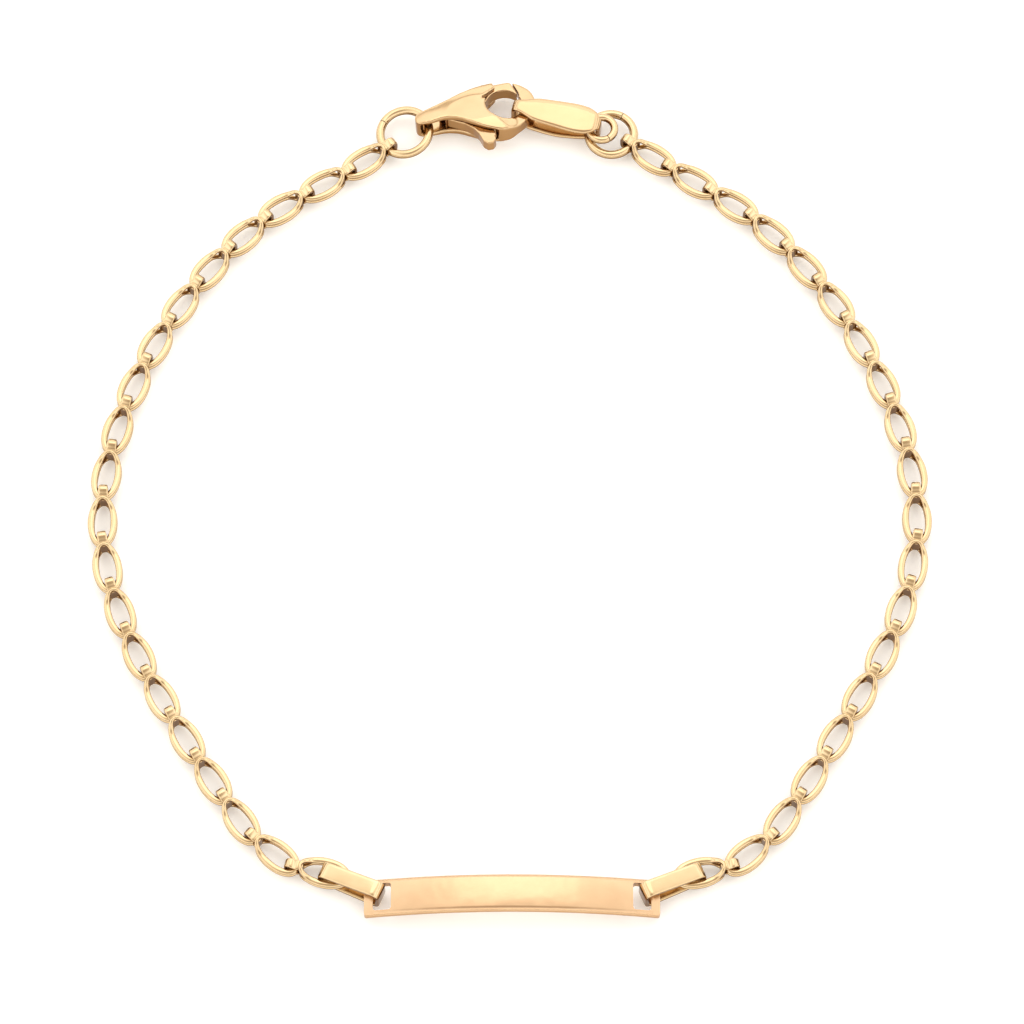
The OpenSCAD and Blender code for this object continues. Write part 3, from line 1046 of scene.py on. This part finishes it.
@dataclass
class LobsterClasp:
    """The lobster clasp: two domed side plates that end in a claw, a sprung lever and its pin."""

    turned: float = 12
    lean: float = 10
    pivot: tuple[float, float] = (2.5, 0.05)
    voxel: float = 0.05
    egg: tuple[float, float, float] = (6.3, 3.3, 1.17)
    egg_middle: tuple[float, float, float] = (4.3, -0.1, 0.0)
    gate_rise: float = 0.18
    gate_from: tuple[float, float] = (5.0, 0.6)
    gate_half_height: float = 0.45
    body_passes: int = 24
    lever_passes: int = 12
    pin_edge: float = 0.04

    def place(self) -> Matrix:
        """Works the clasp's own frame out from the middle of its pin.

        Returns:
            The place of the ring post's middle, with +X leading to the claw's tip.
        """
        turn_and_lean = (Matrix.Rotation(math.radians(self.turned), 4, "Z")
                         @ Matrix.Rotation(math.radians(-self.lean), 4, "X"))
        post = middle_of("clasp_pin") - turn_and_lean @ Vector((*self.pivot, 0)) * MM
        return Matrix.Translation(post) @ turn_and_lean

    def take(self, node: str, name: str) -> bpy.types.Object:
        """Copies a node's mesh into the clasp's own frame, in millimetres, with its faces merged.

        Args:
            node: The node to copy.
            name: The new piece's name.

        Returns:
            The copy.
        """
        obj = bpy.data.objects.new(name, frame["nodes"][node].data.copy())
        bpy.context.scene.collection.objects.link(obj)
        hold(obj)
        obj.matrix_world = Matrix.Scale(1 / MM, 4) @ self.place().inverted()
        bpy.ops.object.transform_apply(location=True, rotation=True, scale=True)
        edit(obj)
        bpy.ops.mesh.customdata_custom_splitnormals_clear()
        bpy.ops.mesh.remove_doubles(threshold=0.0005)
        bpy.ops.mesh.dissolve_limited(angle_limit=math.radians(1))
        bpy.ops.object.mode_set(mode="OBJECT")
        return obj

    def soften(self, obj: bpy.types.Object, passes: int) -> None:
        """Rounds a cast piece all over, as tumbling and buffing do.

        Args:
            obj: The piece, in the clasp's own frame.
            passes: Rounds of smoothing; more of them make softer edges.
        """
        modify(obj, "REMESH", mode="VOXEL", voxel_size=self.voxel)
        # A sharp edge can shed a speck: what isn't joined to the metal at the pivot goes
        edit(obj)
        pick_faces(lambda middle, normal: (middle.xy - Vector(self.pivot)).length < 1)
        bpy.ops.mesh.select_linked()
        bpy.ops.mesh.select_all(action="INVERT")
        bpy.ops.mesh.delete(type="VERT")
        bpy.ops.object.mode_set(mode="OBJECT")
        modify(obj, "SMOOTH", factor=0.5, iterations=passes)

    def crown(self, obj: bpy.types.Object) -> None:
        """Gives both sides of the clasp's body a low crown, by what it shares with a flat egg.

        Args:
            obj: The body, in the clasp's own frame.
        """
        hold()
        bpy.ops.mesh.primitive_uv_sphere_add(segments=64, ring_count=48, radius=1, location=ORIGIN)
        egg = bpy.context.object
        edit(egg)
        stretch(self.egg, ORIGIN)
        slide(self.egg_middle)
        bpy.ops.object.mode_set(mode="OBJECT")
        combine(obj, egg, Cut.KEEP_SHARED)

    def raise_gate(self, obj: bpy.types.Object) -> None:
        """Thickens the gate at the lever's end to the height that shows between the plates.

        Args:
            obj: The lever, in the clasp's own frame.
        """
        edit(obj)
        for side in (-1, 1):
            pick_faces(lambda middle, normal: (
                normal.z * side > 0.9 and abs(middle.z) < self.gate_half_height
                and middle.x > self.gate_from[0] and middle.y > self.gate_from[1]))
            slide((0, 0, side * self.gate_rise))
        bpy.ops.object.mode_set(mode="OBJECT")

    def finish(self, obj: bpy.types.Object, node: str, material: bpy.types.Material, body: Body,
               slot: Slot) -> None:
        """Sets a piece of the clasp in place and dresses it.

        Args:
            obj: The piece, in the clasp's own frame.
            node: The node that it stands for.
            material: Its metal.
            body: The body that it rides on.
            slot: The record's slot that its finish belongs to.
        """
        smooth(obj, levels=0)
        set_in_frame(obj, self.place())
        dress(obj, material, body, slot, node)
        log.info("clasp: %s", node)

    def build(self, finishes: Finishes) -> None:
        """Models the three pieces of the clasp.

        Args:
            finishes: The bracelet's metals.
        """
        body = self.take("clasp_body", "cast_clasp_body")
        self.crown(body)
        self.soften(body, self.body_passes)
        self.finish(body, "clasp_body", finishes.cast, Body.BRACELET, Slot.GOLD)
        lever = self.take("clasp_lever", "sprung_clasp_lever")
        self.raise_gate(lever)
        self.soften(lever, self.lever_passes)
        self.finish(lever, "clasp_lever", finishes.cast, Body.LEVER, Slot.ROSE_GOLD)
        pin = self.take("clasp_pin", "lever_pin")
        modify(pin, "BEVEL", width=self.pin_edge, segments=3, limit_method="ANGLE",
               angle_limit=math.radians(38))
        self.finish(pin, "clasp_pin", finishes.chain, Body.BRACELET, Slot.GOLD)


@dataclass
class Studio:
    """A pale table under a wide soft light, and the camera."""

    target: tuple[float, float, float] = (0.00015, -0.00204, 0.00115)
    elevation: float = 67.6
    distance: float = 0.347
    lens: float = 168
    sensor: float = 36
    floor_radius: float = 1.2
    floor_drop: float = 0.00002
    softbox_spot: tuple[float, float, float] = (0.0, 0.21, 0.5)
    softbox_size: float = 0.3
    softbox_power: float = 0.25
    brightness: float = 1.9
    room: tuple[tuple[float, str], ...] = (
        (0.0, "#5E4E3C"), (0.12, "#A89A86"), (0.28, "#FFFFFF"), (0.46, "#FFFFFF"), (0.54, "#A3957F"),
        (0.64, "#FFFFFF"), (0.74, "#FFFFFF"), (0.88, "#DCD7D0"))
    tent_hole: tuple[tuple[float, str], ...] = (
        (0.84, "#FFFFFF"), (0.97, "#BDB6AE"), (1.0, "#B4ADA4"))

    def lay_floor(self) -> None:
        """Lays the paper just under the bracelet."""
        hold()
        bpy.ops.mesh.primitive_circle_add(vertices=96, radius=self.floor_radius, fill_type="NGON",
                                          location=(0, 0, -self.floor_drop))
        floor = bpy.context.object
        floor.name = "paper_floor"
        bpy.ops.object.transform_apply(location=True, rotation=False, scale=False)
        floor.data.materials.append(MattPaper().make())

    def light(self) -> None:
        """Hangs the soft box and grades the room from its floor to its ceiling."""
        hold()
        bpy.ops.object.light_add(type="AREA", location=self.softbox_spot)
        lamp = bpy.context.object
        lamp.name = "softbox_top"
        lamp.data.shape = "SQUARE"
        lamp.data.size = self.softbox_size
        lamp.data.energy = self.softbox_power
        lamp.rotation_euler = (-Vector(self.softbox_spot)).to_track_quat("-Z", "Y").to_euler()
        world = bpy.data.worlds.new("graded_room")
        world.use_nodes = True
        bpy.context.scene.world = world
        tree = world.node_tree
        way = add_node(tree, "ShaderNodeTexCoord").outputs["Generated"]
        axes = add_node(tree, "ShaderNodeSeparateXYZ", {"Vector": way})
        room = add_ramp(tree, axes.outputs["Z"], self.room)
        up = math.radians(self.elevation)
        lens = (0, -math.cos(up), math.sin(up))
        toward = add_node(tree, "ShaderNodeVectorMath", {0: way, 1: lens}, operation="DOT_PRODUCT")
        hole = add_ramp(tree, toward.outputs["Value"], self.tent_hole)
        both = add_node(tree, "ShaderNodeMix", {"Factor": 1.0, 6: room, 7: hole},
                        data_type="RGBA", blend_type="MULTIPLY")
        back = tree.nodes["Background"]
        back.inputs["Strength"].default_value = self.brightness
        tree.links.new(both.outputs[2], back.inputs["Color"])
        bpy.context.scene.view_settings.view_transform = "Standard"

    def aim_camera(self) -> None:
        """Sets the camera at the photograph's angle."""
        up = math.radians(self.elevation)
        away = Vector((0, -math.cos(up), math.sin(up))) * self.distance
        hold()
        bpy.ops.object.camera_add(location=Vector(self.target) + away)
        camera = bpy.context.object
        camera.rotation_euler = (-away).to_track_quat("-Z", "Y").to_euler()
        camera.data.lens = self.lens
        camera.data.sensor_width = self.sensor
        camera.data.sensor_fit = "HORIZONTAL"
        camera.data.clip_start = 0.01
        camera.data.clip_end = 20
        bpy.context.scene.camera = camera

    def build(self) -> None:
        """Sets up the floor, the lights and the camera."""
        self.lay_floor()
        self.light()
        self.aim_camera()
        log.info("studio")


def main() -> None:
    """Builds every sub-assembly, the stage and the camera."""
    logging.basicConfig(level=logging.INFO, format="%(name)s %(message)s")
    finishes = Finishes()
    Studio().build()
    Chain().build(finishes)
    Bails().build(finishes)
    JumpRing("ring_left", 4.4, 0.68, 150, (-1, -8)).build(finishes)
    JumpRing("ring_right", 4.1, 0.68, 60).build(finishes)
    JumpRing("ring_small", 2.5, 0.6, -60).build(finishes)
    ClaspTag().build(finishes)
    IdPlate().build(finishes)
    LobsterClasp().build(finishes)


if __name__ == "__main__":
    main()
